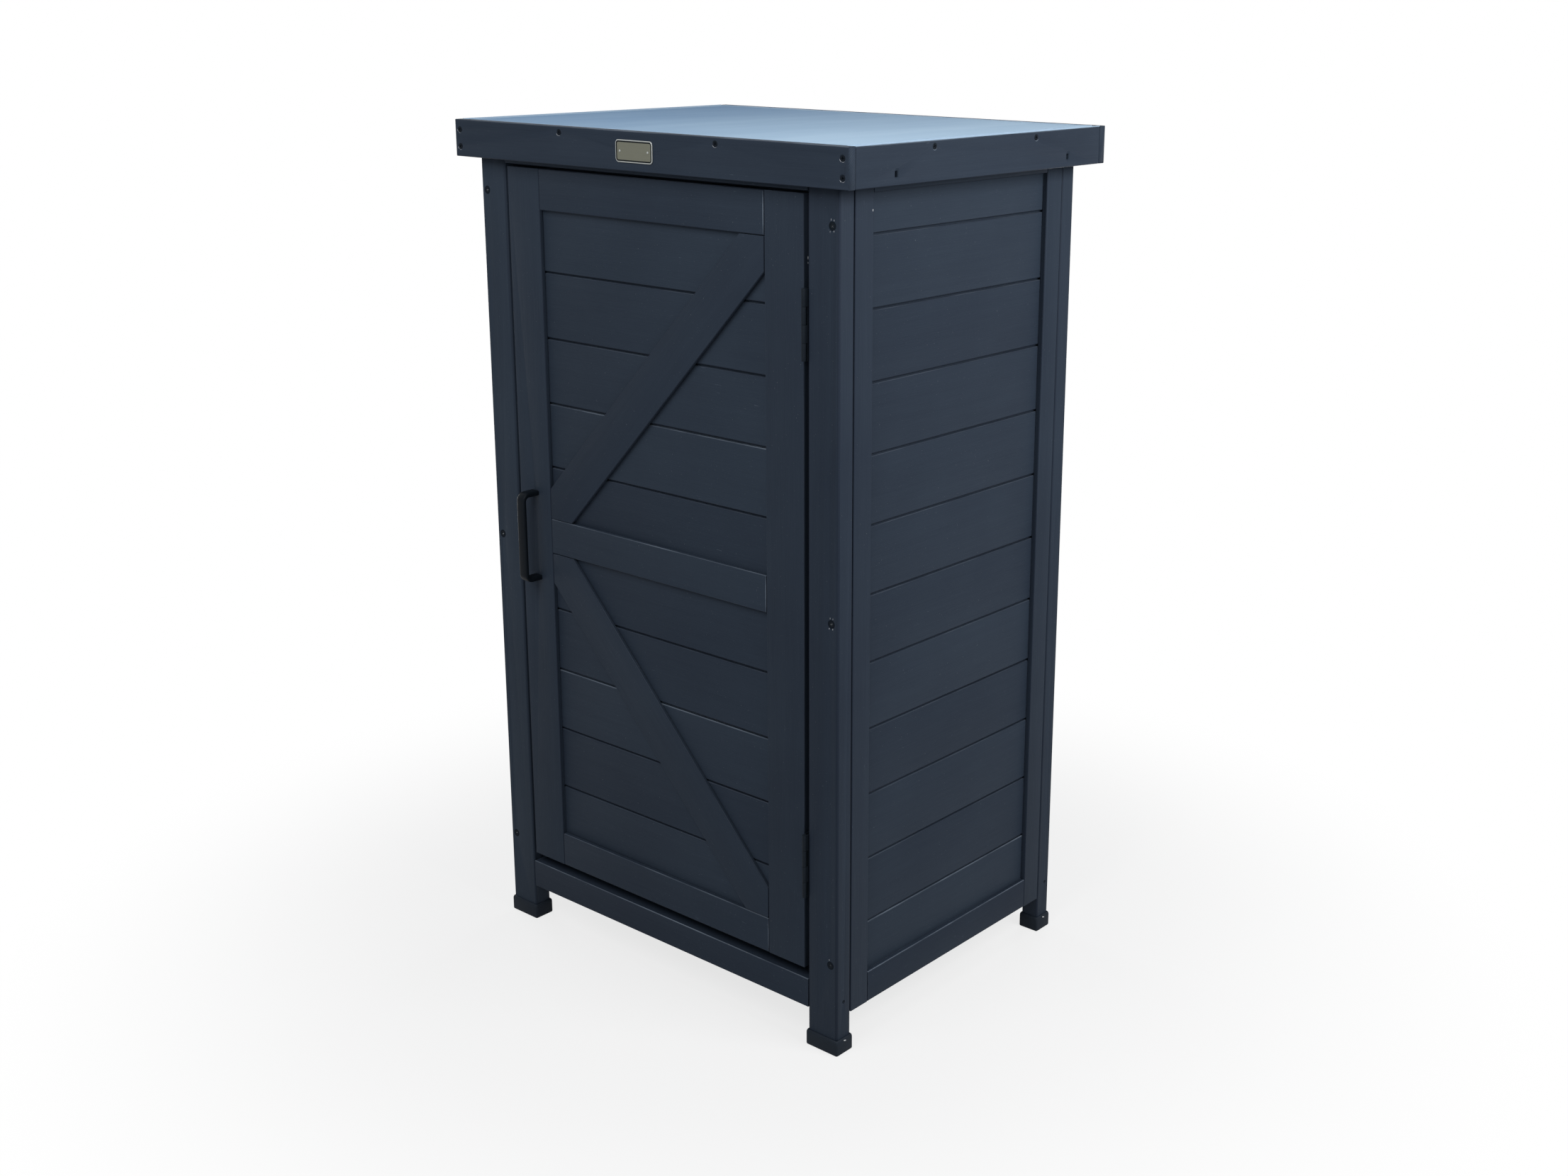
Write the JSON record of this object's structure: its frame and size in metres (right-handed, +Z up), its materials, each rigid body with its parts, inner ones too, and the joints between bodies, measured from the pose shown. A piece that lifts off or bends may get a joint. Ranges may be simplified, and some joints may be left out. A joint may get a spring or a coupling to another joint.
{
  "type": "garden storage cabinet",
  "caption": "Free-standing timber garden cabinet on capped legs, with a low flat metal-topped roof, shelves inside and one braced, outward opening door.",
  "frame": {"origin": "on the ground under the middle of the whole object's box", "axes": "+Z up; the door is on the -Y side, so +Y runs to the back; +X runs to the right as the front is seen, where the hinges are"},
  "size_m": [0.7, 0.54, 1.175],
  "materials": {
    "painted_timber": "satin dark blue-grey paint on planed timber",
    "roof_metal": "pale blue-grey coated sheet, semi-matt",
    "cap_plastic": "moulded, matt black",
    "handle_metal": "black powder coat",
    "hinge_metal": "black coated steel",
    "screw_metal": "black phosphated steel",
    "plate_metal": "dull grey, bare",
    "plate_pin_metal": "bright, worn",
    "catch_plastic": "moulded, dark",
    "strike_metal": "zinc plated"
  },
  "bodies": {
    "cabinet": {"back_panel_boards": "painted_timber", "back_panel_rails": "painted_timber", "back_panel_stiles": "painted_timber", "carcass_screws": "screw_metal", "door_stop": "painted_timber", "floor_bearers": "painted_timber", "floor_boards": "painted_timber", "foot_cap_front_left": "cap_plastic", "foot_cap_front_right": "cap_plastic", "foot_cap_rear_left": "cap_plastic", "foot_cap_rear_right": "cap_plastic", "front_post_left": "painted_timber", "front_post_right": "painted_timber", "head_rail": "painted_timber", "hinge_pins": "hinge_metal", "hinge_post_leaf_lower": "hinge_metal", "hinge_post_leaf_upper": "hinge_metal", "hinge_post_screws": "screw_metal", "left_panel_boards": "painted_timber", "left_panel_bottom_rail": "painted_timber", "left_panel_front_stile": "painted_timber", "left_panel_rear_stile": "painted_timber", "left_panel_top_rail": "painted_timber", "magnetic_catch": "catch_plastic", "name_plate": "plate_metal", "name_plate_pins": "plate_pin_metal", "rail_nails": "screw_metal", "rear_post_left": "painted_timber", "rear_post_right": "painted_timber", "right_panel_boards": "painted_timber", "right_panel_bottom_rail": "painted_timber", "right_panel_front_stile": "painted_timber", "right_panel_rear_stile": "painted_timber", "right_panel_top_rail": "painted_timber", "roof_battens": "painted_timber", "roof_deck": "painted_timber", "roof_fascia_back": "painted_timber", "roof_fascia_front": "painted_timber", "roof_fascia_left": "painted_timber", "roof_fascia_right": "painted_timber", "roof_screws": "screw_metal", "roof_sheet": "roof_metal", "shelf_bearers": "painted_timber", "shelf_boards_lower": "painted_timber", "shelf_boards_upper": "painted_timber", "sill_rail": "painted_timber"},
    "door": {"catch_strike_plate": "strike_metal", "door_boards": "painted_timber", "door_bottom_rail": "painted_timber", "door_brace_lower": "painted_timber", "door_brace_upper": "painted_timber", "door_handle": "handle_metal", "door_handle_stile": "painted_timber", "door_hinge_stile": "painted_timber", "door_mid_rail": "painted_timber", "door_top_rail": "painted_timber", "handle_screws": "screw_metal", "hinge_door_leaf_lower": "hinge_metal", "hinge_door_leaf_upper": "hinge_metal", "hinge_door_screws": "screw_metal"}
  },
  "joints": [
    {"name": "door_swing", "type": "hinge", "parent": "cabinet", "child": "door", "pos_m": [0.269, -0.2452, 0.257], "axis": [0, 0, 1], "range_deg": [0, 180]}
  ]
}
